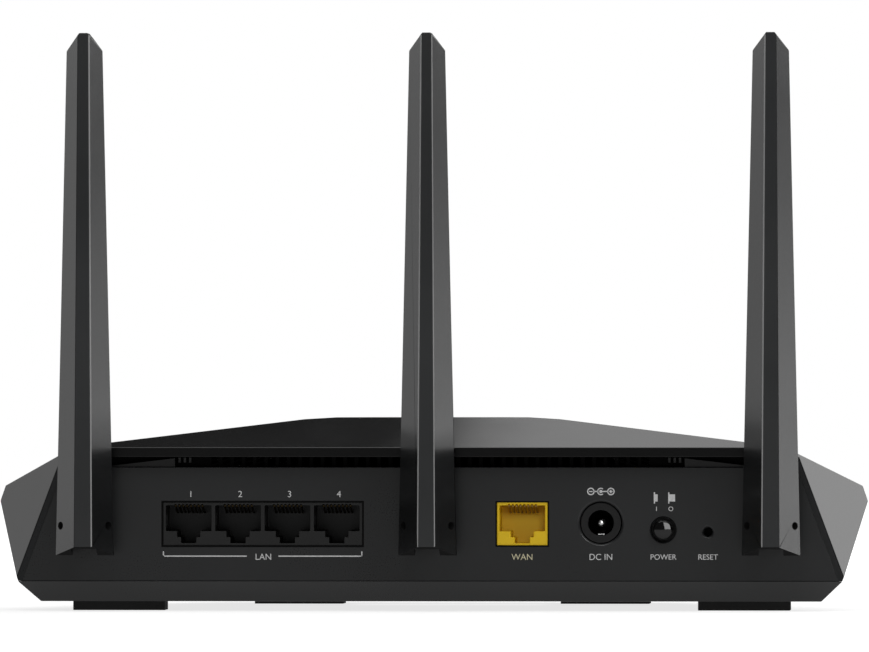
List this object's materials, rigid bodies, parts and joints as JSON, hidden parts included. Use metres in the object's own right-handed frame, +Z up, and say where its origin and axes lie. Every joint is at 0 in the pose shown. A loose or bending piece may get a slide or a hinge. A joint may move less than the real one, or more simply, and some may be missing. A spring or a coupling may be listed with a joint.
{
  "type": "wireless router",
  "caption": "Wireless router: low faceted body with a rear panel of network sockets, power inlet and buttons, and folding antennas.",
  "frame": {"origin": "on the floor, below the centre of the whole object's box, antennas included", "axes": "+X to the right when facing the port panel, +Y from the port panel towards the nose, +Z up"},
  "size_m": [0.2314, 0.1672, 0.1526],
  "materials": {
    "case_plastic": "satin",
    "grille_plastic": "matte",
    "foot_rubber": "matte",
    "screw_steel": "satin",
    "label": "matte",
    "board": "solder mask",
    "socket_black": "moulded",
    "socket_yellow": "moulded",
    "contact_gold": "plated",
    "button_gloss": "gloss",
    "button_white": "moulded",
    "button_case": "satin",
    "chip_black": "moulded",
    "thermal_pad": "matte",
    "heatsink": "extruded",
    "capacitor": "satin",
    "led_lens": "clear",
    "lead_jacket": "smooth",
    "antenna_plastic": "satin",
    "knuckle_plastic": "satin",
    "clip_steel": "satin",
    "radiator": "solder mask"
  },
  "bodies": {
    "root": {"bottom_case": "case_plastic", "top_cover": "case_plastic", "vent_grille": "grille_plastic", "rubber_feet": "foot_rubber", "case_screws": "screw_steel", "bottom_label": "label", "main_board": "board", "board_screws": "screw_steel", "lan_jack_housing": "socket_black", "lan_contacts": "contact_gold", "wan_jack_housing": "socket_yellow", "wan_contacts": "contact_gold", "dc_jack_housing": "socket_black", "dc_jack_pin": "screw_steel", "dc_jack_spring": "screw_steel", "power_switch": "socket_black", "reset_switch": "socket_black", "wifi_switch": "socket_black", "wps_switch": "socket_black", "transformers": "chip_black", "processor": "chip_black", "memory_chips": "chip_black", "network_chip": "chip_black", "radio_chips": "chip_black", "radio_shields": "screw_steel", "thermal_pads": "thermal_pad", "main_heatsink": "heatsink", "radio_heatsinks": "heatsink", "inductors": "chip_black", "capacitors": "capacitor", "status_leds": "led_lens", "light_pipe": "led_lens", "coax_connectors": "contact_gold", "coax_lead_left": "lead_jacket", "coax_lead_centre": "lead_jacket", "coax_lead_right": "lead_jacket"},
    "power_button": {"power_button": "button_gloss"},
    "reset_button": {"reset_button": "button_white"},
    "wifi_button": {"wifi_button": "button_case"},
    "wps_button": {"wps_button": "button_case"},
    "left_swivel": {"antenna_left_knuckle": "knuckle_plastic", "antenna_left_retainer": "clip_steel"},
    "left_antenna": {"antenna_left_pin": "clip_steel", "antenna_left_shell": "antenna_plastic", "antenna_left_cover": "antenna_plastic", "antenna_left_radiator": "radiator"},
    "centre_swivel": {"antenna_centre_knuckle": "knuckle_plastic", "antenna_centre_retainer": "clip_steel"},
    "centre_antenna": {"antenna_centre_pin": "clip_steel", "antenna_centre_shell": "antenna_plastic", "antenna_centre_cover": "antenna_plastic", "antenna_centre_radiator": "radiator"},
    "right_swivel": {"antenna_right_knuckle": "knuckle_plastic", "antenna_right_retainer": "clip_steel"},
    "right_antenna": {"antenna_right_pin": "clip_steel", "antenna_right_shell": "antenna_plastic", "antenna_right_cover": "antenna_plastic", "antenna_right_radiator": "radiator"}
  },
  "joints": [
    {"name": "antenna_left_swivel", "type": "hinge", "parent": "root", "child": "left_swivel", "pos_m": [-0.0906, -0.06636, 0.0226], "axis": [0, 1, 0], "range_deg": [-90, 35]},
    {"name": "antenna_left_tilt", "type": "hinge", "parent": "left_swivel", "child": "left_antenna", "pos_m": [-0.0906, -0.07786, 0.0226], "axis": [1, 0, 0], "range_deg": [0, 90]},
    {"name": "antenna_centre_swivel", "type": "hinge", "parent": "root", "child": "centre_swivel", "pos_m": [0, -0.06636, 0.0226], "axis": [0, 1, 0], "range_deg": [-35, 35]},
    {"name": "antenna_centre_tilt", "type": "hinge", "parent": "centre_swivel", "child": "centre_antenna", "pos_m": [0, -0.07786, 0.0226], "axis": [1, 0, 0], "range_deg": [0, 90]},
    {"name": "antenna_right_swivel", "type": "hinge", "parent": "root", "child": "right_swivel", "pos_m": [0.0906, -0.06636, 0.0226], "axis": [0, 1, 0], "range_deg": [-35, 90]},
    {"name": "antenna_right_tilt", "type": "hinge", "parent": "right_swivel", "child": "right_antenna", "pos_m": [0.0906, -0.07786, 0.0226], "axis": [1, 0, 0], "range_deg": [0, 90]},
    {"name": "power_button_press", "type": "slide", "parent": "root", "child": "power_button", "axis": [0, 1, 0], "range_m": [0, 0.002], "stiffness_N_per_m": 300, "springref_m": -0.0005},
    {"name": "reset_button_press", "type": "slide", "parent": "root", "child": "reset_button", "axis": [0, 1, 0], "range_m": [0, 0.0004], "stiffness_N_per_m": 500, "springref_m": -0.0002},
    {"name": "wifi_button_press", "type": "slide", "parent": "root", "child": "wifi_button", "axis": [0, 0, -1], "range_m": [0, 0.0005], "stiffness_N_per_m": 500, "springref_m": -0.0003},
    {"name": "wps_button_press", "type": "slide", "parent": "root", "child": "wps_button", "axis": [0, 0, -1], "range_m": [0, 0.0005], "stiffness_N_per_m": 500, "springref_m": -0.0003}
  ]
}
